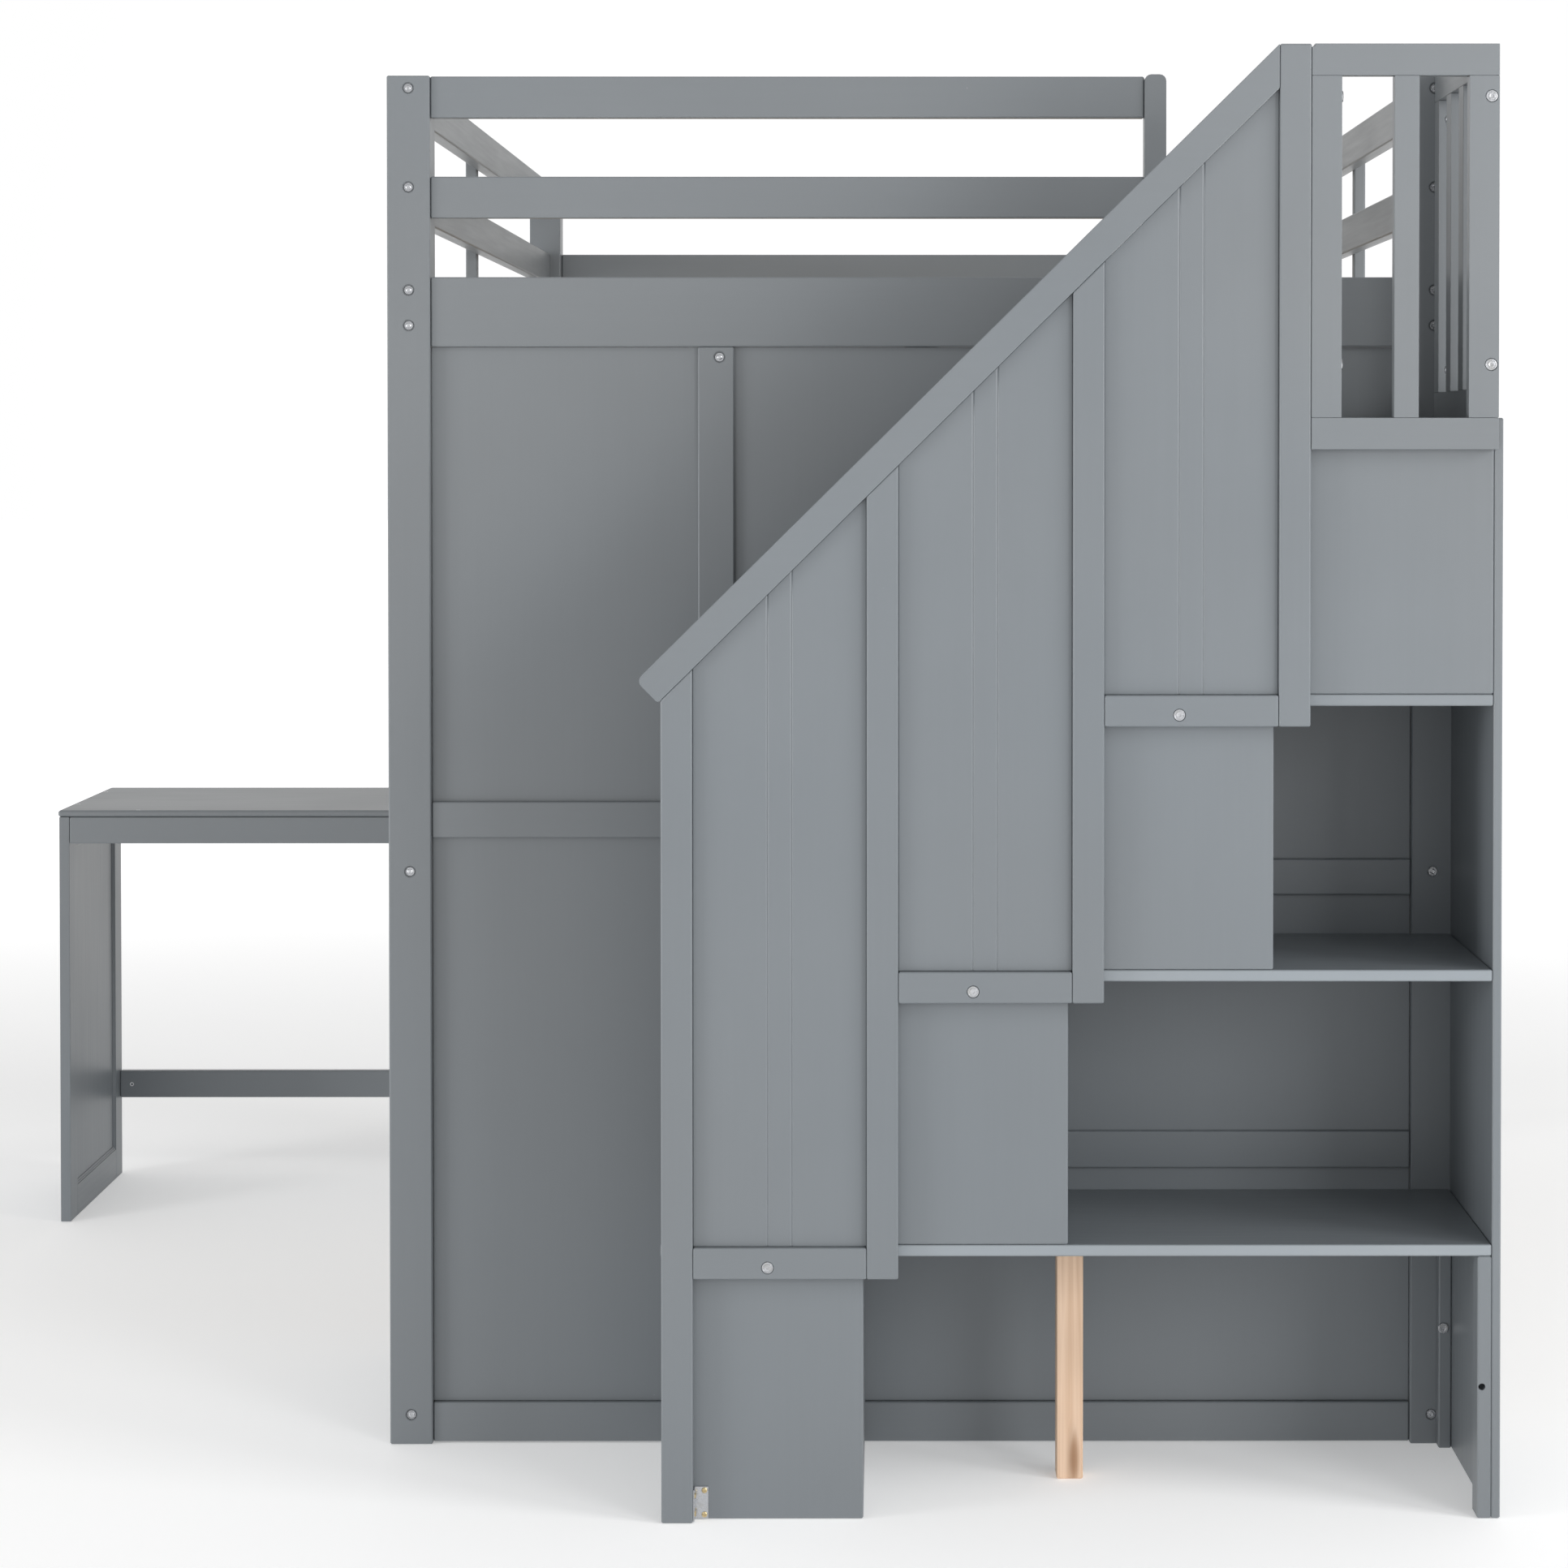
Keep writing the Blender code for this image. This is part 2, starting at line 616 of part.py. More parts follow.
def make_landing_railings():
    """The framed railings on the front and the outer side of the landing."""
    x = (TOP_NEWEL_RIGHT + GAP / 2, LANDING_RIGHT)
    low, high = LANDING - FOOT_RAIL_HEIGHT, STAIR_TOP
    opening = (LANDING, high - FOOT_RAIL_HEIGHT)
    loops = [
        rectangle(x, (low, high)),
        rectangle((x[0] + LANDING_STILE, BALUSTER[0]), opening),
        rectangle((BALUSTER[1], LANDING_RIGHT - LANDING_STILE), opening),
    ]
    plane = facing_front(GUARD_PLANE, BOX_PLANE)
    front = cut_sheet("landing_front_railing", loops, GUARD_BOARD, plane)
    bolt_x = LANDING_RIGHT - LANDING_BOLT_EDGE
    bore(front, [(bolt_x, GUARD_PLANE + GAP / 2, height) for height in LANDING_BOLTS], "Y")
    y = (BOX_PLANE + GAP / 2, -GAP)
    pitch = (y[1] - y[0] - SIDE_UPRIGHT_WIDTH) / (SIDE_UPRIGHTS - 1)
    loops = [rectangle(y, (LANDING + GAP, high))]
    for bay in range(SIDE_UPRIGHTS - 1):
        start = y[0] + bay * pitch + SIDE_UPRIGHT_WIDTH
        span = (start, start + pitch - SIDE_UPRIGHT_WIDTH)
        loops.append(rectangle(span, (LANDING + SIDE_LOW_RAIL, high - FOOT_RAIL_HEIGHT)))
    thickness = SIDE_RAILING_X[1] - SIDE_RAILING_X[0]
    side = cut_sheet("landing_side_railing", loops, thickness, facing_side(*SIDE_RAILING_X))
    upright_face = y[1] - SIDE_UPRIGHT_WIDTH
    bore(side, [(SIDE_RAILING_BOLT_X, upright_face, height) for height in LANDING_BOLTS], "Y")


def make_desk():
    right = DESK_LEFT + DESK_LENGTH
    under = DESK_TOP - DESK_BOARD
    y = DESK_Y
    board("desk_top", (DESK_LEFT, right), y, (under, DESK_TOP), bevel=DESK_TOP_EDGE)
    left_x = DESK_LEFT + DESK_OVERHANG
    right_x = right - DESK_OVERHANG
    framed_panel("desk_leg_left", (left_x, left_x + LEG_PANEL), y, (0.0, under))
    framed_panel("desk_leg_right", (right_x - LEG_PANEL, right_x), y, (0.0, under))
    between = (left_x + LEG_PANEL, right_x - LEG_PANEL)
    board("desk_apron", between, (y[0], y[0] + DESK_RAIL), (APRON_BOTTOM, under))
    board("desk_stretcher", between, (y[1] - DESK_RAIL, y[1]), STRETCHER)


clear_scene()
BED = collection("loft_bed_with_desk")
HELPERS = collection("cutters")
PAINT = material("grey_paint", (0.190, 0.204, 0.216), 0.40)
PINE = material("bare_pine", (0.62, 0.42, 0.25), 0.6)
SLAT_WOOD = material("slat_wood", (0.66, 0.49, 0.31), 0.6)
STEEL = material("zinc_steel", (0.62, 0.62, 0.60), 0.35, 1.0)
ROOT = bpy.data.objects.new("loft_bed_centre", None)
ROOT.location = -CENTRE
BED.objects.link(ROOT)

make_posts()
make_end_boards()
make_guard_end_post()
make_side_boards()
make_slats()
make_centre_beam()
make_panelled_end()
make_low_frames()
make_guard_uprights()
make_handrail()
make_guard_panels()
make_treads()
make_step_boxes()
make_stair_side()
make_bracket()
make_landing_railings()
make_desk()
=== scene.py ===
"""The looks of the loft bed with desk: finishes, eased edges, glued joints, hardware and studio.

Metres, +Z up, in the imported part's own frame. Every place is worked out from the boxes of the
part's nodes, and sizes that belong to one piece are named beside its function.
"""

import math
import random

import bmesh
import bpy
from mathutils import Matrix, Vector


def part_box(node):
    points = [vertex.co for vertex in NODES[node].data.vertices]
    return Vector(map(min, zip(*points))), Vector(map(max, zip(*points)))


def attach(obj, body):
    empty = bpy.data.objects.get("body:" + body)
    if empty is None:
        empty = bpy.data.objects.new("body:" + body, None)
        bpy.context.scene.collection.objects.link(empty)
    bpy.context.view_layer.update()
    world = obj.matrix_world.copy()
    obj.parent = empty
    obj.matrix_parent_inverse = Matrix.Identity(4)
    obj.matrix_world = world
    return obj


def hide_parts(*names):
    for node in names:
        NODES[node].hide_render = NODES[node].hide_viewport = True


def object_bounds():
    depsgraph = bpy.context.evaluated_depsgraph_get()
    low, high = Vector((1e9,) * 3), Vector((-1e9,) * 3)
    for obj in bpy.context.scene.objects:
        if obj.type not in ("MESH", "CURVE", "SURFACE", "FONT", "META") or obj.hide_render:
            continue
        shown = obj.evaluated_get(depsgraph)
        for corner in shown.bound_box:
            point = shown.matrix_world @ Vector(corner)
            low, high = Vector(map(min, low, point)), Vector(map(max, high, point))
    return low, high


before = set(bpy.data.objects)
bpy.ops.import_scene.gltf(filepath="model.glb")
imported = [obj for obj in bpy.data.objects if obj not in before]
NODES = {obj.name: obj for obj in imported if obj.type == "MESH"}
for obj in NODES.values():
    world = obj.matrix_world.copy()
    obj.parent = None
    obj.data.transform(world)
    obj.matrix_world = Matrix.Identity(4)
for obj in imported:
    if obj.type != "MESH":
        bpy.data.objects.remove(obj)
cad_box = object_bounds()

X, Y, Z = 0, 1, 2
# The surround's glow towards the low and the high end of each axis.
SURROUND = {X: (0.30, 0.15), Y: (1.07, 1.04), Z: (0.45, 0.45)}
# Each softbox by its side of the front (degrees, right is positive), its height above level
# (degrees) and its watts. They all stand off by the same distance and are the same size.
SOFTBOXES = {
    "softbox_left": (-65.0, 2.0, 126.0),
    "softbox_front_right": (40.0, 9.0, 86.0),
    "softbox_right": (65.0, 22.0, 102.0),
}
SOFTBOX_DISTANCE, SOFTBOX_SIDE = 6.0, 1.8
AIM = Vector((0.0, -0.9, 0.9))
FLOOR_HALF, FLOOR_GAP = 60.0, 0.0005
# The camera's sensor width and focal length are in millimetres.
CAMERA_SENSOR, CAMERA_LENS, CAMERA_SHIFT = 36.0, 83.84, (-0.0689, -0.1690)
CAMERA_PLACE = (0.3255, -5.6654, 1.3296)
CAMERA_TURN = (math.radians(88.859), 0.0, math.radians(-0.12))
FRONT, BACK = Vector((0, -1, 0)), Vector((0, 1, 0))
RIGHT, LEFT = Vector((1, 0, 0)), Vector((-1, 0, 0))
UP = Vector((0, 0, 1))


# ---------------------------------------------------------------- materials


class Graph:
    """A small helper that adds nodes to one material and links them."""

    def __init__(self, name):
        self.material = bpy.data.materials.new(name)
        self.material.use_nodes = True
        self.tree = self.material.node_tree
        self.shader = self.tree.nodes["Principled BSDF"]

    def add(self, kind, inputs=None, **settings):
        node = self.tree.nodes.new(kind)
        for key, value in settings.items():
            setattr(node, key, value)
        for key, value in (inputs or {}).items():
            self.feed(node.inputs[key], value)
        return node

    def feed(self, socket, value):
        if isinstance(value, bpy.types.NodeSocket):
            self.tree.links.new(value, socket)
        else:
            socket.default_value = value

    def math(self, operation, first, second=0.0):
        return self.add("ShaderNodeMath", {0: first, 1: second}, operation=operation).outputs[0]

    def place(self, scale=(1.0, 1.0, 1.0), rotation=(0.0, 0.0, 0.0)):
        """Object coordinates, turned and then scaled."""
        where = self.add("ShaderNodeTexCoord").outputs["Object"]
        inputs = {"Vector": where, "Scale": scale, "Rotation": rotation}
        return self.add("ShaderNodeMapping", inputs).outputs["Vector"]

    def noise(self, vector, scale, detail=3.0, roughness=0.5, distortion=0.0):
        inputs = {
            "Vector": vector,
            "Scale": scale,
            "Detail": detail,
            "Roughness": roughness,
            "Distortion": distortion,
        }
        return self.add("ShaderNodeTexNoise", inputs).outputs["Fac"]

    def spread(self, value, low, high, new_low=0.0, new_high=1.0, smooth=False):
        inputs = {
            "Value": value,
            "From Min": low,
            "From Max": high,
            "To Min": new_low,
            "To Max": new_high,
        }
        kind = "SMOOTHSTEP" if smooth else "LINEAR"
        return self.add("ShaderNodeMapRange", inputs, interpolation_type=kind).outputs["Result"]

    def blend(self, amount, first, second, mode="MIX"):
        node = self.add("ShaderNodeMix", data_type="RGBA", blend_type=mode)
        self.feed(node.inputs["Factor"], amount)
        self.feed(node.inputs["A"], first)
        self.feed(node.inputs["B"], second)
        return node.outputs["Result"]

    def bump(self, height, distance, strength, under=None):
        inputs = {"Height": height, "Distance": distance, "Strength": strength}
        if under is not None:
            inputs["Normal"] = under
        return self.add("ShaderNodeBump", inputs).outputs["Normal"]

    def finish(self, colour, roughness, normal, **uniform):
        self.feed(self.shader.inputs["Base Color"], colour)
        self.feed(self.shader.inputs["Roughness"], roughness)
        self.feed(self.shader.inputs["Normal"], normal)
        for key, value in uniform.items():
            self.shader.inputs[key.replace("_", " ")].default_value = value
        return self.material


GREY = (0.172, 0.188, 0.201)
WHITE = (1.0, 1.0, 1.0, 1.0)
# Painted highlight on the rounded edges, partly thin paint worn there and partly light caught on
# them: how much lighter the paint is made, and how strongly, varied by the wear.
EDGE_HIGHLIGHT, EDGE_HIGHLIGHT_AND_WEAR = 1.5, (0.15, 0.35)
# Pale specks in the paint: cells per metre, and the radius within a cell where one fades out.
SPECK, SPECK_STRENGTH = (0.42, 0.43, 0.44, 1.0), 0.35
SPECK_SCALE, SPECK_RADIUS = 9.0, (0.004, 0.010)
KNOT_BROWN, KNOT_STRENGTH = (0.26, 0.12, 0.05, 1.0), 0.8
# Noise cycles per metre along the grain and across it.
PAINT_GRAIN = (5.0, 170.0)
BAND_GRAIN, KNOT_GRAIN, PORE_GRAIN = (0.55, 30.0), (3.4, 16.0), (9.0, 420.0)
# Noise cycles per metre of the paint's slow tone changes, its clouds and its orange peel.
DRIFT_SCALE, CLOUD_SCALE, PEEL_SCALE = 0.9, 2.6, 620.0
PAINT_ROUGHNESS, WOOD_ROUGHNESS = (0.33, 0.45), (0.52, 0.68)
PAINT_IOR, WOOD_IOR = 1.48, 1.45
# Cycles per metre of the zinc's spangle, haze and tarnish, and of the strap's threads.
SPANGLE_SCALE, HAZE_SCALE, TARNISH_SCALE = 700.0, 260.0, 90.0
WARP_SCALE, WEFT_SCALE = 380.0, 300.0
STRAP_SHADE, STRAP_LIGHT = (0.50, 0.49, 0.46, 1.0), (0.80, 0.79, 0.75, 1.0)
# The floor glows a little, as a light table does, and more far off, so that it stays near white.
FLOOR_GLOW = (0.26, 0.60)
NEAR_FLOOR, FAR_FLOOR = 1.8, 7.0


def tinted(colour, red, blue):
    """A colour with its red and blue scaled, and opaque."""
    return colour[0] * red, colour[1], colour[2] * blue, 1.0


def grain_scale(axis, along, across):
    """A stretch that makes streaks run along one axis."""
    return tuple(along if direction == axis else across for direction in (X, Y, Z))


def arris(graph, turn=(0.0, 0.0, 0.0)):
    """1 on the rounded edges of a square-cut board, 0 on its flat faces."""
    normal = graph.add("ShaderNodeNewGeometry").outputs["Normal"]
    if any(turn):
        inputs = {"Vector": normal, "Rotation": turn}
        turned = graph.add("ShaderNodeVectorRotate", inputs, rotation_type="EULER_XYZ")
        normal = turned.outputs["Vector"]
    parts = graph.add("ShaderNodeSeparateXYZ", {"Vector": normal}).outputs
    sizes = [graph.math("ABSOLUTE", parts[index]) for index in (X, Y, Z)]
    flattest = graph.math("MAXIMUM", graph.math("MAXIMUM", sizes[0], sizes[1]), sizes[2])
    return graph.spread(graph.math("SUBTRACT", 1.0, flattest), 0.02, 0.2, smooth=True)


def paint(name, axis, turn=(0.0, 0.0, 0.0), front_lift=1.0):
    """Sprayed satin grey paint over sanded wood whose grain runs along one axis, with a painted
    highlight on its rounded edges. Faces turned to the front are made lighter by front_lift."""
    graph = Graph(name)
    still = graph.place()
    streaks = graph.place(grain_scale(axis, *PAINT_GRAIN), tuple(-angle for angle in turn))
    fibre = graph.noise(streaks, 1.0, detail=4.0, roughness=0.6)
    cloud = graph.noise(still, CLOUD_SCALE)
    drift = graph.noise(still, DRIFT_SCALE, detail=2.0)
    peel = graph.noise(still, PEEL_SCALE, detail=2.0)
    highlight_colour = tuple(value * EDGE_HIGHLIGHT for value in GREY)
    warm, cool = tinted(GREY, 1.02, 0.985), tinted(GREY, 0.985, 1.015)
    colour = graph.blend(graph.spread(drift, 0.35, 0.65), warm, cool)
    mottle = graph.math("ADD", cloud, graph.math("MULTIPLY", fibre, 0.3))
    mottle = graph.spread(mottle, 0.4, 0.9, 0.965, 1.035)
    colour = graph.blend(1.0, colour, mottle, mode="MULTIPLY")
    # Faces turned to the front are lightened by front_lift, set per tread.
    if front_lift != 1.0:
        facing = graph.add("ShaderNodeNewGeometry").outputs["Normal"]
        towards = graph.add("ShaderNodeSeparateXYZ", {"Vector": facing}).outputs[Y]
        lifted = graph.spread(towards, -0.95, -0.6, front_lift, 1.0)
        colour = graph.blend(1.0, colour, lifted, mode="MULTIPLY")
    # Painted highlight: the rounded edges are painted lighter, its strength varied in patches as
    # the paint's wear.
    highlight_and_wear = graph.spread(cloud, 0.3, 0.7, *EDGE_HIGHLIGHT_AND_WEAR)
    edge = graph.math("MULTIPLY", arris(graph, turn), highlight_and_wear)
    colour = graph.blend(edge, colour, (*highlight_colour, 1.0))
    cells = graph.add("ShaderNodeTexVoronoi", {"Vector": still, "Scale": SPECK_SCALE})
    nib = graph.spread(cells.outputs["Distance"], *SPECK_RADIUS, 1.0, 0.0)
    colour = graph.blend(graph.math("MULTIPLY", nib, SPECK_STRENGTH), colour, SPECK)
    roughness = graph.spread(graph.math("ADD", cloud, fibre), 0.6, 1.4, *PAINT_ROUGHNESS)
    normal = graph.bump(fibre, 0.00005, 0.4)
    normal = graph.bump(peel, 0.00002, 0.3, under=normal)
    return graph.finish(colour, roughness, normal, IOR=PAINT_IOR)


def bare_wood(name, axis, light, dark, knots):
    """Planed softwood: long growth bands, fine pores and a knot or two."""
    graph = Graph(name)
    along = graph.place(grain_scale(axis, *BAND_GRAIN))
    fine = graph.place(grain_scale(axis, *PORE_GRAIN))
    cell = {"Vector": graph.place(grain_scale(axis, *KNOT_GRAIN)), "Scale": 1.0, "Randomness": 0.8}
    cells = graph.add("ShaderNodeTexVoronoi", cell).outputs["Distance"]
    knot = graph.spread(cells, 0.05, 0.20, 1.0, 0.0, smooth=True)
    knot = graph.math("MULTIPLY", knot, knots)
    ring = graph.noise(along, 1.0, detail=3.0, roughness=0.55, distortion=1.4)
    ring = graph.math("ADD", graph.math("MULTIPLY", ring, 9.0), graph.math("MULTIPLY", knot, 1.7))
    ring = graph.math("PINGPONG", ring, 1.0)
    pores = graph.noise(fine, 1.0, detail=2.0)
    bands, specks = graph.math("MULTIPLY", ring, 0.6), graph.math("MULTIPLY", pores, 0.45)
    tone = graph.math("ADD", bands, specks)
    colour = graph.blend(graph.spread(tone, 0.15, 1.0), (*dark, 1.0), (*light, 1.0))
    cloud = graph.spread(graph.noise(graph.place(), 5.0), 0.3, 0.7, 0.93, 1.06)
    colour = graph.blend(1.0, colour, cloud, mode="MULTIPLY")
    colour = graph.blend(graph.math("MULTIPLY", knot, KNOT_STRENGTH), colour, KNOT_BROWN)
    roughness = graph.spread(pores, 0.3, 0.7, *WOOD_ROUGHNESS)
    normal = graph.bump(graph.math("ADD", pores, graph.math("MULTIPLY", ring, 0.4)), 0.00012, 0.6)
    return graph.finish(colour, roughness, normal, IOR=WOOD_IOR)


def plated_steel(name, colour, roughness, tarnish=(0.42, 0.42, 0.40)):
    """Zinc plate: faintly spangled and clouded, and duller in patches."""
    graph = Graph(name)
    still = graph.place()
    cells = graph.add("ShaderNodeTexVoronoi", {"Vector": still, "Scale": SPANGLE_SCALE})
    grey = graph.add("ShaderNodeRGBToBW", {"Color": cells.outputs["Color"]}).outputs["Val"]
    cloud = graph.noise(still, HAZE_SCALE, detail=4.0)
    dull = graph.spread(graph.noise(still, TARNISH_SCALE), 0.52, 0.7)
    shade = graph.blend(graph.math("MULTIPLY", dull, 0.5), (*colour, 1.0), (*tarnish, 1.0))
    shade = graph.blend(1.0, shade, graph.spread(grey, 0.0, 1.0, 0.92, 1.05), mode="MULTIPLY")
    rough = graph.spread(cloud, 0.3, 0.7, roughness - 0.07, roughness + 0.12)
    normal = graph.bump(cloud, 0.00003, 0.4)
    return graph.finish(shade, rough, normal, Metallic=1.0)


def webbing(name):
    """Off-white polyester strap in a fine over-and-under weave."""
    graph = Graph(name)
    still = graph.place()
    threads = []
    for direction, scale in (("X", WARP_SCALE), ("Y", WEFT_SCALE)):
        inputs = {"Vector": still, "Scale": scale}
        wave = graph.add("ShaderNodeTexWave", inputs, bands_direction=direction)
        threads.append(wave.outputs["Fac"])
    weave = graph.math("MULTIPLY", *threads)
    soil = graph.noise(still, 14.0)
    colour = graph.blend(weave, STRAP_SHADE, STRAP_LIGHT)
    colour = graph.blend(1.0, colour, graph.spread(soil, 0.3, 0.7, 0.9, 1.05), mode="MULTIPLY")
    normal = graph.bump(weave, 0.0003, 0.8)
    return graph.finish(colour, graph.spread(weave, 0.0, 1.0, 0.9, 0.75), normal, Sheen_Weight=0.2)


def studio_floor(name):
    """Matt near-white paper that glows a little."""
    graph = Graph(name)
    still = graph.place()
    tone = graph.spread(graph.noise(still, 0.6), 0.3, 0.7, 0.93, 0.95)
    normal = graph.bump(graph.noise(still, 40.0), 0.0004, 0.2)
    away = graph.add("ShaderNodeVectorMath", {0: still}, operation="LENGTH").outputs["Value"]
    near, far = FLOOR_GLOW
    glow = graph.spread(away, NEAR_FLOOR, FAR_FLOOR, near, far, smooth=True)
    graph.feed(graph.shader.inputs["Emission Color"], glow)
    return graph.finish(tone, 0.85, normal, Emission_Strength=1.0)


# The handrail's fall to the left, which its grain follows.
HANDRAIL_SLOPE = math.radians(44.68)
PAINTS = {
    X: paint("grey_paint_x", X),
    Y: paint("grey_paint_y", Y),
    Z: paint("grey_paint_z", Z),
}
PAINT_SLOPE = paint("grey_paint_slope", X, turn=(0.0, HANDRAIL_SLOPE, 0.0))
TREAD_PAINTS = {
    "tread_1": paint("grey_paint_tread_low", X, front_lift=1.6),
    "tread_2": paint("grey_paint_tread_middle", X, front_lift=1.5),
    "tread_3": paint("grey_paint_tread_high", X, front_lift=1.25),
}
PINE = bare_wood("bare_pine", Z, (0.84, 0.63, 0.47), (0.68, 0.46, 0.31), knots=1.0)
SLAT_LIGHT, SLAT_DARK = (0.72, 0.56, 0.38), (0.55, 0.38, 0.22)
SLAT_WOODS = {
    X: bare_wood("slat_wood_x", X, SLAT_LIGHT, SLAT_DARK, knots=0.4),
    Y: bare_wood("slat_wood_y", Y, SLAT_LIGHT, SLAT_DARK, knots=0.4),
}
ZINC = plated_steel("zinc_plate", (0.50, 0.51, 0.53), 0.24)
WHITE_CAP = plated_steel("bright_zinc", (0.92, 0.92, 0.93), 0.4, (0.7, 0.7, 0.7))
BRASSED = plated_steel("yellow_zinc", (0.66, 0.54, 0.32), 0.34, (0.40, 0.30, 0.16))
STRAP = webbing("slat_webbing")


# ---------------------------------------------------------------- mesh helpers

WELD_DISTANCE = 0.00001
# Faces that turn less than the first angle are one flat, and edges past the second are rounded.
FLAT_ANGLE, EDGE_ANGLE = math.radians(0.5), math.radians(20.0)


def size(node):
    low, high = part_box(node)
    return high - low


def middle(span):
    return (span[0] + span[1]) / 2


def long_axis(extent):
    return max((X, Y, Z), key=lambda index: extent[index])


def new_piece(name, shape, materials):
    """Makes a bmesh into a piece that rides on the part."""
    mesh = bpy.data.meshes.new(name)
    shape.to_mesh(mesh)
    shape.free()
    for material in materials:
        mesh.materials.append(material)
    piece = bpy.data.objects.new(name, mesh)
    bpy.context.scene.collection.objects.link(piece)
    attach(piece, "root")
    return piece


def soften(piece, width, segments=2):
    """Rounds every edge a little and shades the flats flat and the curves smooth."""
    weld = piece.modifiers.new("weld", "WELD")
    weld.merge_threshold = WELD_DISTANCE
    flats = piece.modifiers.new("flats", "DECIMATE")
    flats.decimate_type = "DISSOLVE"
    flats.angle_limit = FLAT_ANGLE
    rounding = piece.modifiers.new("rounding", "BEVEL")
    rounding.width = width
    rounding.segments = segments
    rounding.limit_method = "ANGLE"
    rounding.angle_limit = EDGE_ANGLE
    piece.data.shade_smooth()
    weighted = piece.modifiers.new("weighted", "WEIGHTED_NORMAL")
    weighted.keep_sharp = True


# ---------------------------------------------------------------- carried-over boards

REPLACED = {
    "slat_roll",
    "landing_front_railing",
    "landing_side_railing",
    "desk_leg_left",
    "desk_leg_right",
    "low_frame_left",
    "low_frame_right",
}
BARE = {"prop_leg": PINE, "centre_beam": SLAT_WOODS[Y], "corner_bracket": ZINC}
UPRIGHT_GRAIN = {
    "end_panel",
    "stair_side_panel",
    "step_box_1",
    "step_box_2",
    "step_box_3",
    "step_box_4",
}
BOARD_EDGE, BRACKET_EDGE = 0.0007, 0.0004


def dress_boards():
    for name, node in NODES.items():
        if name in REPLACED:
            continue
        if name in BARE:
            finish = BARE[name]
        elif name == "handrail":
            finish = PAINT_SLOPE
        elif name in TREAD_PAINTS:
            finish = TREAD_PAINTS[name]
        elif name in UPRIGHT_GRAIN:
            finish = PAINTS[Z]
        else:
            finish = PAINTS[long_axis(size(name))]
        node.data.materials.clear()
        node.data.materials.append(finish)
        soften(node, BRACKET_EDGE if name == "corner_bracket" else BOARD_EDGE)


# ---------------------------------------------------------------- boards built up into frames

FRAME_PAINTS = [PAINTS[X], PAINTS[Y], PAINTS[Z]]
EDGE_RADIUS = 0.0008
# Each framed railing, leg and low frame is separate boards, a hair apart, as they are glued up.
SEAM = 0.00015
EASED_CORNER, EASED_CORNER_SEGMENTS = 0.0035, 4

# Counterbore of a bolt: radius and depth.
BORE = (0.0078, 0.0022)
# Where the railing bolts are: below the top of the front railing, in from its right edge, and
# in from the side railing's left face.
RAILING_BOLT_DROPS = (0.0640, 0.3930)
RAILING_BOLT_EDGE = 0.0096
SIDE_RAILING_BOLT_X = 0.0155
RAIL_HEIGHT = 0.039
LANDING_STILE = 0.037
BALUSTER_OFFSET, BALUSTER_WIDTH = 0.1013, 0.0305
SIDE_LOW_RAIL = 0.0355
SIDE_UPRIGHT, SIDE_UPRIGHTS = 0.037, 4

PANEL_FRAME = 0.053
PANEL_SUNK = 0.005
# The bead's outline: how far in from the frame and how deep.
MOULDING = (
    (0.0, 0.0012),
    (0.0028, 0.0012),
    (0.0028, 0.0030),
    (0.0060, 0.0034),
    (0.0060, PANEL_SUNK),
)
OPEN_FRAME_BOARD = 0.056

SLAT_COUNT = 13
SLAT_WIDTH, SLAT_DEPTH, SLAT_EDGE = 0.070, 0.014, 0.0025
STRAP_X, STRAP_WIDTH, STRAP_DEPTH = 0.42, 0.030, 0.0013
STRAP_MARGIN, STRAP_SAG = 0.010, 0.0003
# A staple's length and wire, and the shares of the wire that are below and above the strap's face.
STAPLE = (0.011, 0.0012)
STAPLE_OUT, STAPLE_IN = 0.4, 0.2
STAPLE_EDGE = 0.0001
# How far across a slat each of its two staples is.
STAPLE_SHARES = (0.3, 0.7)


def railing_bolt_heights():
    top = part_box("landing_front_railing")[1].z
    return [top - drop for drop in RAILING_BOLT_DROPS]


def railing_bolts():
    low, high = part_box("landing_front_railing")
    return [Vector((high.x - RAILING_BOLT_EDGE, low.y, z)) for z in railing_bolt_heights()]


def side_railing_bolts():
    low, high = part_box("landing_side_railing")
    x, y = low.x + SIDE_RAILING_BOLT_X, high.y - SIDE_UPRIGHT
    return [Vector((x, y, z)) for z in railing_bolt_heights()]


RAILING_BOLTS = railing_bolts()
SIDE_RAILING_BOLTS = side_railing_bolts()


def add_block(shape, low, high):
    """A plain block between two corners. Returns its vertices."""
    low, high = Vector(low), Vector(high)
    corners = bmesh.ops.create_cube(shape, size=1.0)["verts"]
    bmesh.ops.scale(shape, vec=high - low, verts=corners)
    bmesh.ops.translate(shape, vec=(low + high) / 2, verts=corners)
    return corners


def add_board(shape, x, y, z, ease=None):
    """One board over the spans x, y and z, as its own closed body, painted with the grain along
    its length. The edge along Y at the corner (x, z) given as ease is rounded off more."""
    corners = add_block(shape, *zip(x, y, z))
    finish = long_axis([span[1] - span[0] for span in (x, y, z)])
    faces = {face for corner in corners for face in corner.link_faces}
    for face in faces:
        face.material_index = finish
    if ease:
        edges = {edge for corner in corners for edge in corner.link_edges}
        at_corner = [
            edge
            for edge in edges
            if all(math.hypot(end.co.x - ease[0], end.co.z - ease[1]) < SEAM for end in edge.verts)
        ]
        bmesh.ops.bevel(
            shape,
            geom=at_corner,
            offset=EASED_CORNER,
            segments=EASED_CORNER_SEGMENTS,
            affect="EDGES",
        )


def inset(span, amount):
    return span[0] + amount, span[1] - amount


def box_spans(node):
    """The node's (low, high) along X, Y and Z."""
    low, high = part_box(node)
    return tuple((low[axis], high[axis]) for axis in (X, Y, Z))


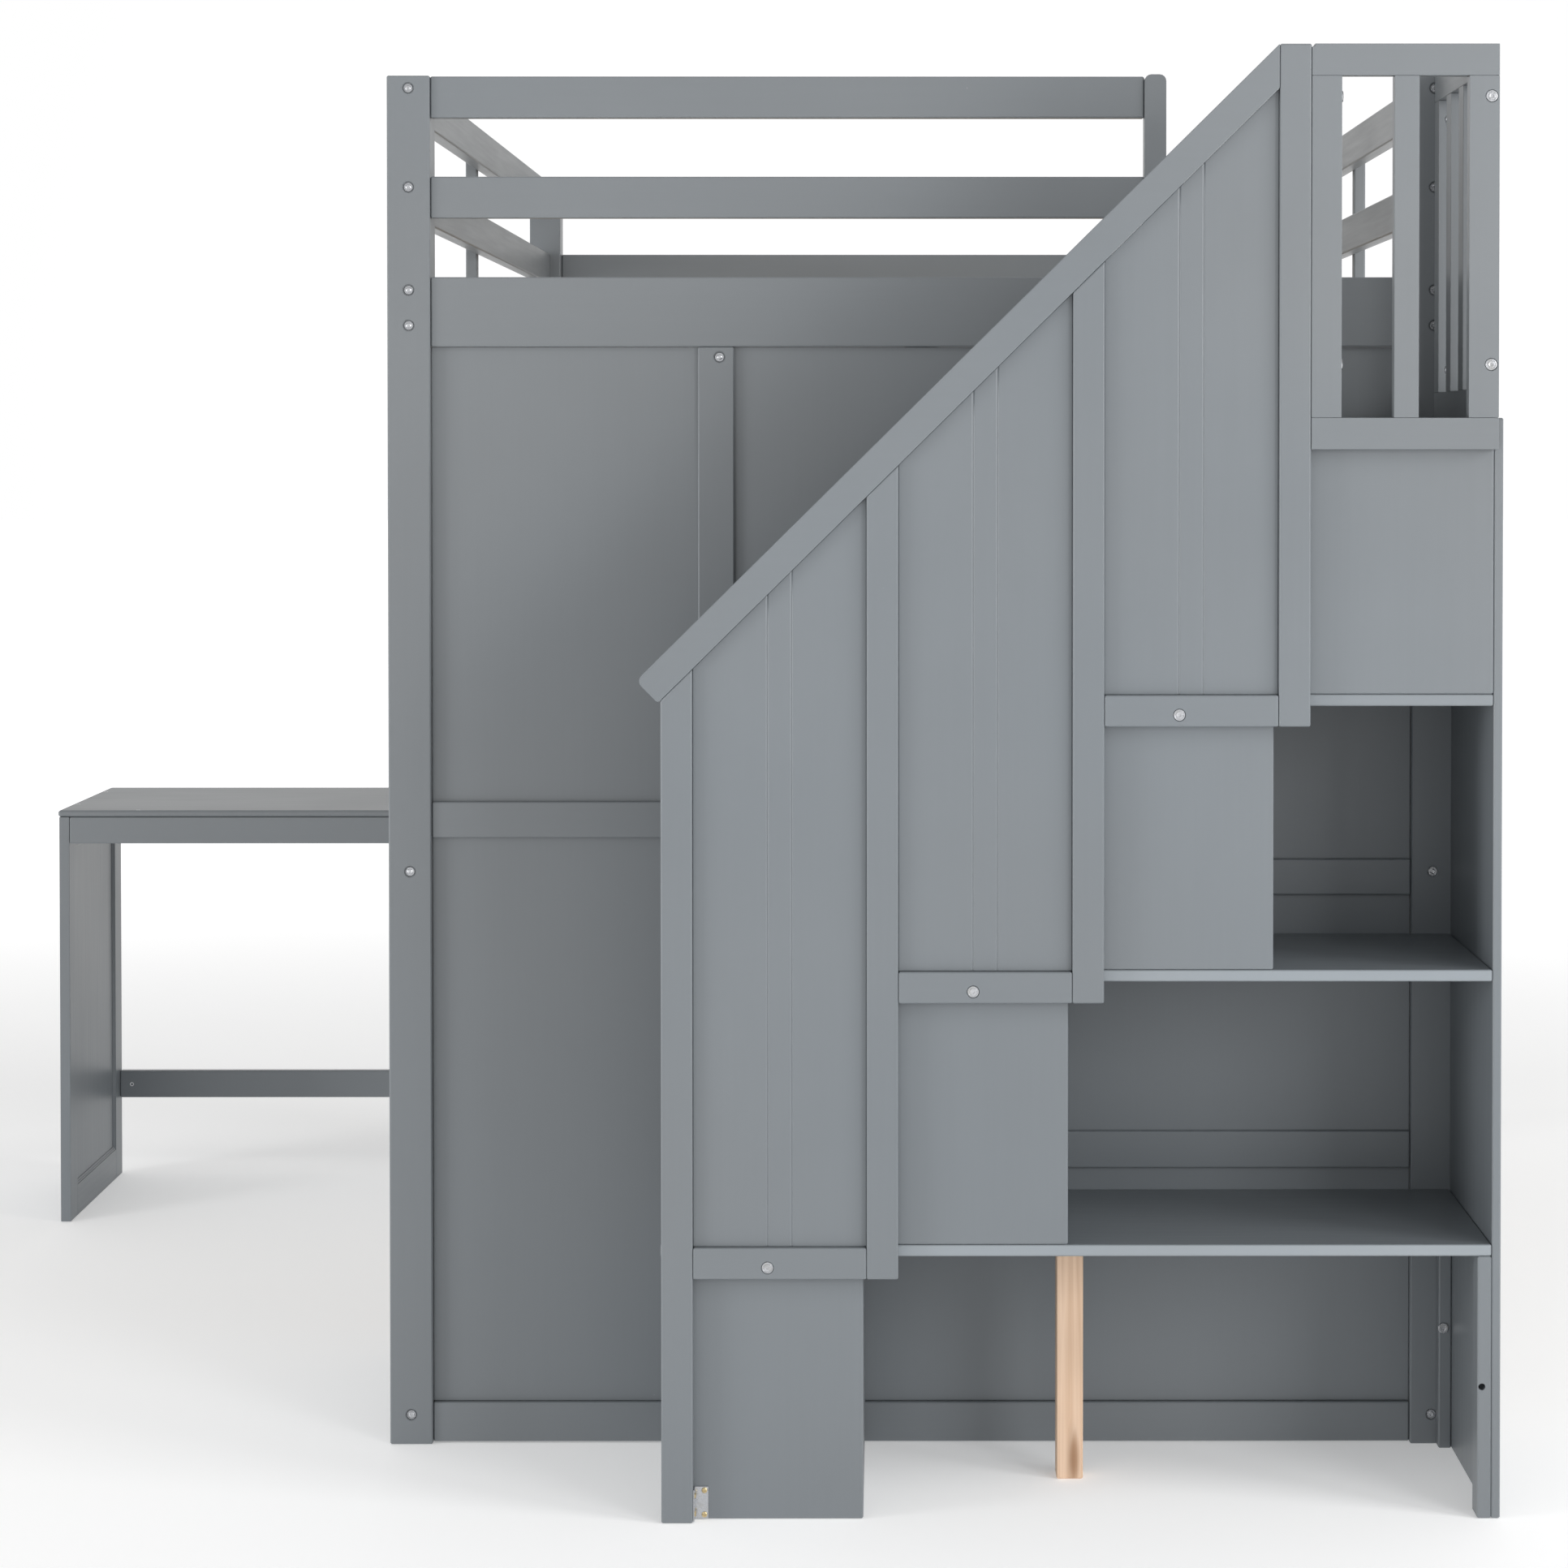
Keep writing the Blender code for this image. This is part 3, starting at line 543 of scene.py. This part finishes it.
def sink_bores(piece, points, outward, radius, depth):
    """Cuts round counterbores into the faces at points."""
    shape = bmesh.new()
    for point in points:
        turned(shape, point, outward, [(radius, -depth), (radius, depth)], roll=0.0)
    mesh = bpy.data.meshes.new("bores")
    shape.to_mesh(mesh)
    shape.free()
    cutter = bpy.data.objects.new("bores", mesh)
    bpy.context.scene.collection.objects.link(cutter)
    cut = piece.modifiers.new("bores", "BOOLEAN")
    cut.object = cutter
    evaluated = piece.evaluated_get(bpy.context.evaluated_depsgraph_get())
    finished = bpy.data.meshes.new_from_object(evaluated)
    piece.modifiers.remove(cut)
    piece.data = finished
    bpy.data.objects.remove(cutter)


def add_rails(shape, x, y, z, low_height, ease=None):
    """A railing's top and bottom rails. Returns the heights between them."""
    low_rail = (z[0], z[0] + low_height - SEAM)
    top_rail = (z[1] - RAIL_HEIGHT + SEAM, z[1])
    add_board(shape, x, y, top_rail, ease)
    add_board(shape, x, y, low_rail)
    return low_rail[1] + SEAM, top_rail[0] - SEAM


def make_front_railing():
    """Top and bottom rails across the full width, with two stiles and a baluster between."""
    name = "landing_front_railing"
    x, y, z = box_spans(name)
    shape = bmesh.new()
    between = add_rails(shape, x, y, z, RAIL_HEIGHT, ease=(x[0], z[1]))
    baluster = x[0] + BALUSTER_OFFSET - SEAM
    uprights = (
        (x[0], x[0] + LANDING_STILE - SEAM),
        (baluster, baluster + BALUSTER_WIDTH),
        (x[1] - LANDING_STILE, x[1]),
    )
    for upright in uprights:
        add_board(shape, upright, y, between)
    railing = new_piece("front_railing", shape, FRAME_PAINTS)
    sink_bores(railing, RAILING_BOLTS, FRONT, *BORE)
    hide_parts(name)
    soften(railing, EDGE_RADIUS)


def make_side_railing():
    """Four uprights between two long rails."""
    name = "landing_side_railing"
    x, y, z = box_spans(name)
    shape = bmesh.new()
    between = add_rails(shape, x, y, z, SIDE_LOW_RAIL)
    pitch = (y[1] - y[0] - SIDE_UPRIGHT) / (SIDE_UPRIGHTS - 1)
    for count in range(SIDE_UPRIGHTS):
        start = y[0] + count * pitch
        add_board(shape, x, (start, start + SIDE_UPRIGHT), between)
    railing = new_piece("side_railing", shape, FRAME_PAINTS)
    sink_bores(railing, SIDE_RAILING_BOLTS, FRONT, *BORE)
    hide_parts(name)
    soften(railing, EDGE_RADIUS)


def stepped_moulding(shape, x, outward, y, z):
    """The stepped bead round a sunk panel: each loop lies further in and deeper."""
    loops = []
    for offset, depth in MOULDING:
        (y0, y1), (z0, z1) = inset(y, offset), inset(z, offset)
        ring = [(y0, z0), (y1, z0), (y1, z1), (y0, z1)]
        if outward < 0:
            ring.reverse()
        loops.append([shape.verts.new((x - outward * depth, *point)) for point in ring])
    for outer, inner in zip(loops, loops[1:]):
        for corner in range(4):
            after = (corner + 1) % 4
            face = shape.faces.new((outer[corner], outer[after], inner[after], inner[corner]))
            face.material_index = Z if corner % 2 else Y


def make_framed_panel(name, piece_name):
    """A panel on edge: stiles, rails, a sunk panel and a stepped bead on both faces."""
    x, y, z = box_spans(name)
    shape = bmesh.new()
    inner_y, inner_z = inset(y, PANEL_FRAME), inset(z, PANEL_FRAME)
    for rail in ((z[0], inner_z[0] - SEAM), (inner_z[1] + SEAM, z[1])):
        add_board(shape, x, inset(inner_y, SEAM), rail)
    for stile in ((y[0], inner_y[0] - SEAM), (inner_y[1] + SEAM, y[1])):
        add_board(shape, x, stile, z)
    add_board(shape, inset(x, PANEL_SUNK), inner_y, inner_z)
    stepped_moulding(shape, x[0], -1, inner_y, inner_z)
    stepped_moulding(shape, x[1], 1, inner_y, inner_z)
    piece = new_piece(piece_name, shape, FRAME_PAINTS)
    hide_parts(name)
    soften(piece, EDGE_RADIUS)


def make_open_frame():
    """The long frame behind the right posts: two rails and three uprights."""
    name = "low_frame_right"
    x, y, z = box_spans(name)
    shape = bmesh.new()
    width = OPEN_FRAME_BOARD
    for rail in ((z[0], z[0] + width - SEAM), (z[1] - width + SEAM, z[1])):
        add_board(shape, x, y, rail)
    for left in (y[0], middle(y) - width / 2, y[1] - width):
        add_board(shape, x, (left, left + width), inset(z, width))
    piece = new_piece("open_low_frame", shape, FRAME_PAINTS)
    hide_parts(name)
    soften(piece, EDGE_RADIUS)


def make_end_frame_back():
    """The inner halves of the panelled end's stile and rails, behind its sheet."""
    shape = bmesh.new()
    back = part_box("end_panel")[1].y + SEAM
    y = (back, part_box("end_rail_foot")[1].y)
    for node in ("end_stile", "end_rail_left_mid", "end_rail_right_mid", "end_rail_right_low"):
        x, _, z = box_spans(node)
        add_board(shape, x, y, z)
    piece = new_piece("end_frame_back", shape, FRAME_PAINTS)
    soften(piece, EDGE_RADIUS)


# ---------------------------------------------------------------- slats


def make_slats():
    """Planed slats with well-rounded edges, stapled to two webbing straps under them."""
    x, y, z = box_spans("slat_roll")
    base = z[1] - SLAT_DEPTH
    wood = bmesh.new()
    starts = [
        y[0] + (y[1] - y[0] - SLAT_WIDTH) * count / (SLAT_COUNT - 1) for count in range(SLAT_COUNT)
    ]
    for start in starts:
        add_board(wood, x, (start, start + SLAT_WIDTH), (base, z[1]))
    slats = new_piece("bed_slats", wood, [SLAT_WOODS[X]])
    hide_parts("slat_roll")
    soften(slats, SLAT_EDGE, segments=3)
    straps, staples = bmesh.new(), bmesh.new()
    for centre in (middle(x) - STRAP_X, middle(x) + STRAP_X):
        add_strap(straps, centre, base, starts)
        for start in starts:
            for share in STAPLE_SHARES:
                add_staple(staples, centre, start + SLAT_WIDTH * share, base - STRAP_DEPTH)
    new_piece("slat_straps", straps, [STRAP])
    pins = new_piece("slat_staples", staples, [ZINC])
    soften(pins, STAPLE_EDGE)


def add_strap(shape, centre, top, starts):
    """A flat strap along the slats' undersides. It hangs a little between them."""
    stations = []
    for start, after in zip(starts, starts[1:] + [None]):
        stations.append((start + STRAP_MARGIN if start == starts[0] else start, 0.0))
        if after is None:
            stations.append((start + SLAT_WIDTH - STRAP_MARGIN, 0.0))
        else:
            gap = (start + SLAT_WIDTH, after)
            stations += [(gap[0], 0.0), (middle(gap), STRAP_SAG)]
    rings = []
    half = STRAP_WIDTH / 2
    section = ((-half, -STRAP_DEPTH), (half, -STRAP_DEPTH), (half, 0.0), (-half, 0.0))
    for along, sag in stations:
        rings.append([shape.verts.new((centre + a, along, top - sag + b)) for a, b in section])
    for ring, after in zip(rings, rings[1:]):
        for corner in range(4):
            beside = (corner + 1) % 4
            shape.faces.new((ring[corner], ring[beside], after[beside], after[corner]))
    shape.faces.new(reversed(rings[0]))
    shape.faces.new(rings[-1])
    bmesh.ops.recalc_face_normals(shape, faces=shape.faces)


def add_staple(shape, centre, along, surface):
    """A staple's crown, lying across the strap."""
    length, wire = STAPLE
    low = (centre - length / 2, along - wire / 2, surface - wire * STAPLE_OUT)
    high = (centre + length / 2, along + wire / 2, surface + wire * STAPLE_IN)
    add_block(shape, low, high)


# ---------------------------------------------------------------- bolts and screws

TURNED_SIDES = 48
CREASE_ANGLE = math.radians(32)


def hexagon(flat):
    """The outline of a hexagon, as a radius in each direction. Flat is half its width."""
    sixth = math.pi / 3
    return lambda angle: flat / math.cos((angle % sixth) - sixth / 2)


def cross(half_width, reach):
    """The outline of a plus sign, as a radius in each direction."""

    def radius(angle):
        small, large = sorted((abs(math.sin(angle)), abs(math.cos(angle))))
        return min(reach / large, half_width / max(small, 0.001))

    return radius


def turned(shape, centre, outward, rings, roll):
    """A turned solid along outward, from its lowest ring to its top one. Each ring is a radius
    and a height, and its radius may be a function of the angle."""
    place = Matrix.Translation(centre) @ outward.to_track_quat("Z", "Y").to_matrix().to_4x4()
    place = place @ Matrix.Rotation(roll, 4, "Z")
    loops = []
    for radius, height in rings:
        loop = []
        for step in range(TURNED_SIDES):
            angle = 2 * math.pi * step / TURNED_SIDES
            reach = radius(angle) if callable(radius) else radius
            point = Vector((reach * math.cos(angle), reach * math.sin(angle), height))
            loop.append(shape.verts.new(place @ point))
        loops.append(loop)
    for outer, inner in zip(loops, loops[1:]):
        for step in range(TURNED_SIDES):
            after = (step + 1) % TURNED_SIDES
            shape.faces.new((outer[step], outer[after], inner[after], inner[step]))
    shape.faces.new(loops[-1])
    shape.faces.new(reversed(loops[0]))


# Rings of each kind of head: radius, and height above the board's face.
SUNK_BOLT = [
    (0.0062, -0.0021),
    (0.0062, -0.0014),
    (0.0056, -0.0008),
    (0.0050, -0.0008),
    (0.0046, -0.0017),
    (0.0038, -0.0017),
    (0.0034, -0.0009),
    (0.0027, -0.0006),
    (hexagon(0.0021), -0.0008),
    (hexagon(0.0020), -0.0020),
]
FLUSH_BOLT = [
    (0.0072, -0.0021),
    (0.0072, -0.0008),
    (0.0068, -0.0004),
    (0.0058, -0.0003),
    (0.0055, -0.0011),
    (0.0045, -0.0011),
    (0.0042, -0.0004),
    (0.0028, -0.0003),
    (hexagon(0.0018), -0.0005),
    (hexagon(0.0017), -0.0018),
]
FACE_BOLT = [
    (0.0070, 0.0),
    (0.0070, 0.0013),
    (0.0064, 0.0019),
    (0.0040, 0.0021),
    (hexagon(0.0025), 0.0019),
    (hexagon(0.0024), 0.0006),
]
PAN_SCREW = [
    (0.0036, 0.0),
    (0.0036, 0.0007),
    (0.0031, 0.0013),
    (0.0023, 0.0016),
    (cross(0.0005, 0.0021), 0.0016),
    (cross(0.0004, 0.0016), 0.0005),
]
FLUSH_SCREW = [
    (0.0036, -0.0012),
    (0.0036, -0.0001),
    (0.0034, 0.00005),
    (0.0024, 0.0),
    (cross(0.0005, 0.0021), -0.0001),
    (cross(0.0004, 0.0016), -0.0009),
]
SUNK_SCREW = [
    (0.0040, -0.0021),
    (0.0040, -0.0012),
    (0.0035, -0.0007),
    (0.0024, -0.0006),
    (cross(0.0005, 0.0021), -0.0006),
    (cross(0.0004, 0.0016), -0.0016),
]


def make_fasteners(name, groups, finish=ZINC):
    """One piece of the same kind of hardware. A group is (rings, outward, points)."""
    shape = bmesh.new()
    dice = random.Random(name)
    for rings, outward, points in groups:
        for point in points:
            turned(shape, Vector(point), outward, rings, roll=dice.uniform(0.0, math.tau))
    piece = new_piece(name, shape, [finish])
    piece.data.shade_smooth()
    piece.data.set_sharp_from_angle(angle=CREASE_ANGLE)


# Heights of the post bolts that hold the side rails and guards, and the low frames.
SIDE_RAIL_BOLTS = (1.8034, 1.6726, 1.5365, 1.4896)
LOW_FRAME_BOLTS = (0.7647, 0.0396)
# In from the stile's right edge, and down from its top.
STILE_BOLT = (0.0195, 0.0134)
# Left of the foot rail's middle, and down from its top.
FOOT_BOLT = (0.0150, 0.0243)
# In from the back batten's right edge, and up from the floor.
BATTEN_BOLT = (0.0110, 0.1605)
# In from the side panel's front edge, and up from the floor.
SIDE_SCREW = (0.0130, 0.0470)
# The desk top's screws, as shares of its depth and of the front board's length.
LEG_SCREW_SHARES, APRON_SCREW_SHARES = (0.26, 0.80), (0.10, 0.5, 0.90)
STRETCHER_SCREW_INSET = 0.0215
# The bracket's sheet, and its screws: how far along each leaf, and up to the low and high one.
BRACKET_PLATE = 0.0015
BRACKET_SCREWS = (0.0132, 0.0050, 0.0351)
BRACKET_LEG_SCREWS = (0.0088, 0.0080, 0.0305)


def post_bolts():
    """Six bolts down each post, but four where no low frame is bolted on, and one in the stile."""
    groups = []
    for end, outward in (("near", FRONT), ("far", BACK)):
        for side in ("left", "right"):
            x, y, _ = box_spans(f"post_{end}_{side}")
            face = y[0] if end == "near" else y[1]
            heights = SIDE_RAIL_BOLTS
            if (end, side) != ("far", "left"):
                heights += LOW_FRAME_BOLTS
            groups.append((SUNK_BOLT, outward, [(middle(x), face, z) for z in heights]))
    x, y, z = box_spans("end_stile")
    place = (x[1] - STILE_BOLT[0], y[0], z[1] - STILE_BOLT[1])
    groups.append((SUNK_BOLT, FRONT, [place]))
    return groups


def guard_bolts():
    """Flush bolts in the foot rails and the landing's railings. Proud ones hold the front
    railing's left stile and the back batten."""
    points = list(RAILING_BOLTS)
    for step in (1, 2, 3):
        x, y, z = box_spans(f"guard_foot_rail_{step}")
        points.append((middle(x) - FOOT_BOLT[0], y[0], z[1] - FOOT_BOLT[1]))
    x, y, _ = box_spans("landing_front_railing")
    inner = [(x[0] + LANDING_STILE - SEAM, middle(y), height) for height in railing_bolt_heights()]
    low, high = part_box("back_batten")
    batten = [(high.x - BATTEN_BOLT[0], low.y, BATTEN_BOLT[1])]
    return [
        (FLUSH_BOLT, FRONT, points),
        (FLUSH_BOLT, FRONT, SIDE_RAILING_BOLTS),
        (FACE_BOLT, RIGHT, inner),
        (FACE_BOLT, FRONT, batten),
    ]


def board_screws():
    """Cross-head screws in the outer faces of the guard uprights and of the stairs' side panel."""
    groups = []
    for side, outward in (("left", LEFT), ("right", RIGHT)):
        x, y, _ = box_spans(f"guard_upright_{side}")
        face = x[0] if side == "left" else x[1]
        rails = (f"guard_top_{side}", f"guard_mid_{side}", f"side_rail_{side}")
        heights = [middle(box_spans(rail)[Z]) for rail in rails]
        groups.append((FLUSH_SCREW, outward, [(face, middle(y), z) for z in heights]))
    low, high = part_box("stair_side_panel")
    panel = [(high.x, low.y + SIDE_SCREW[0], SIDE_SCREW[1])]
    groups.append((SUNK_SCREW, RIGHT, panel))
    return groups


def desk_screws():
    """The top is screwed down to its legs and to the board under its front edge."""
    _, y, z = box_spans("desk_top")
    points = []
    for side in ("left", "right"):
        x = middle(box_spans(f"desk_leg_{side}")[X])
        points += [(x, y[0] + share * (y[1] - y[0]), z[1]) for share in LEG_SCREW_SHARES]
    apron_x, apron_y, _ = box_spans("desk_apron")
    for share in APRON_SCREW_SHARES:
        points.append((apron_x[0] + share * (apron_x[1] - apron_x[0]), middle(apron_y), z[1]))
    stretcher_x, stretcher_y, stretcher_z = box_spans("desk_stretcher")
    places = inset(stretcher_x, STRETCHER_SCREW_INSET)
    ends = [(x, stretcher_y[0], middle(stretcher_z)) for x in places]
    return [(FLUSH_SCREW, UP, points), (FLUSH_SCREW, FRONT, ends)]


def bracket_screws():
    """Two pan-head screws through each leaf of the folded bracket."""
    x, y, z = box_spans("corner_bracket")
    across, low, high = BRACKET_SCREWS
    plate = [(x[0] + across, y[1] - BRACKET_PLATE, z[0] + height) for height in (low, high)]
    back, low, high = BRACKET_LEG_SCREWS
    leg = [(x[0] + BRACKET_PLATE, y[1] - back, z[0] + height) for height in (low, high)]
    return [(PAN_SCREW, FRONT, plate), (PAN_SCREW, RIGHT, leg)]


# ---------------------------------------------------------------- studio


def softbox(name, azimuth, elevation, power):
    """A square light that shines at the stairs from one side."""
    lamp = bpy.data.lights.new(name, "AREA")
    lamp.size = SOFTBOX_SIDE
    lamp.energy = power
    light = bpy.data.objects.new(name, lamp)
    turn, rise = math.radians(azimuth), math.radians(elevation)
    towards = Vector(
        (math.sin(turn) * math.cos(rise), -math.cos(turn) * math.cos(rise), math.sin(rise))
    )
    light.location = AIM + towards * SOFTBOX_DISTANCE
    light.rotation_euler = towards.to_track_quat("Z", "Y").to_euler()
    light.visible_camera = False
    bpy.context.scene.collection.objects.link(light)


def make_surround(glow):
    """A white cyclorama: its glow towards each side fades smoothly into the next side's.
    The camera itself always sees it white."""
    world = bpy.data.worlds.new("studio")
    world.use_nodes = True
    tree = world.node_tree
    where = tree.nodes.new("ShaderNodeTexCoord").outputs["Generated"]
    parts = tree.nodes.new("ShaderNodeSeparateXYZ")
    tree.links.new(where, parts.inputs[0])
    total = None
    for axis, (below, above) in glow.items():
        positive = math_node(tree, "MAXIMUM", parts.outputs[axis], 0.0)
        negative = math_node(tree, "MINIMUM", parts.outputs[axis], 0.0)
        for side, amount in ((negative, below), (positive, above)):
            square = math_node(tree, "MULTIPLY", side, side)
            part = math_node(tree, "MULTIPLY", square, amount)
            total = part if total is None else math_node(tree, "ADD", total, part)
    seen = tree.nodes.new("ShaderNodeLightPath").outputs["Is Camera Ray"]
    total = math_node(tree, "MAXIMUM", total, seen)
    background = tree.nodes["Background"]
    background.inputs["Color"].default_value = WHITE
    tree.links.new(total, background.inputs["Strength"])
    bpy.context.scene.world = world


def math_node(tree, operation, first, second):
    node = tree.nodes.new("ShaderNodeMath")
    node.operation = operation
    for socket, value in zip(node.inputs, (first, second)):
        if isinstance(value, bpy.types.NodeSocket):
            tree.links.new(value, socket)
        else:
            socket.default_value = value
    return node.outputs[0]


def make_studio():
    """A wide floor just under the part, the surround and the softboxes."""
    floor_shape = bmesh.new()
    bmesh.ops.create_grid(floor_shape, x_segments=8, y_segments=8, size=FLOOR_HALF)
    mesh = bpy.data.meshes.new("studio_floor")
    floor_shape.to_mesh(mesh)
    floor_shape.free()
    mesh.materials.append(studio_floor("studio_floor"))
    floor = bpy.data.objects.new("studio_floor", mesh)
    floor.location.z = cad_box[0][2] - FLOOR_GAP
    bpy.context.scene.collection.objects.link(floor)
    make_surround(SURROUND)
    for name, (azimuth, elevation, power) in SOFTBOXES.items():
        softbox(name, azimuth, elevation, power)
    bpy.context.scene.view_settings.view_transform = "Standard"


def make_camera():
    """Stands a little right of the middle at guard height and sees the stair end square on."""
    data = bpy.data.cameras.new("camera")
    data.sensor_width = CAMERA_SENSOR
    data.lens = CAMERA_LENS
    data.shift_x, data.shift_y = CAMERA_SHIFT
    camera = bpy.data.objects.new("camera", data)
    camera.location = CAMERA_PLACE
    camera.rotation_euler = CAMERA_TURN
    bpy.context.scene.collection.objects.link(camera)
    bpy.context.scene.camera = camera


dress_boards()
make_front_railing()
make_side_railing()
make_framed_panel("desk_leg_left", "left_desk_leg")
make_framed_panel("desk_leg_right", "right_desk_leg")
make_framed_panel("low_frame_left", "panelled_low_frame")
make_open_frame()
make_end_frame_back()
make_slats()
make_fasteners("post_bolt_heads", post_bolts())
make_fasteners("guard_bolt_heads", guard_bolts())
make_fasteners("board_screws", board_screws())
make_fasteners("desk_screws", desk_screws(), WHITE_CAP)
make_fasteners("bracket_screws", bracket_screws(), BRASSED)
make_studio()
make_camera()
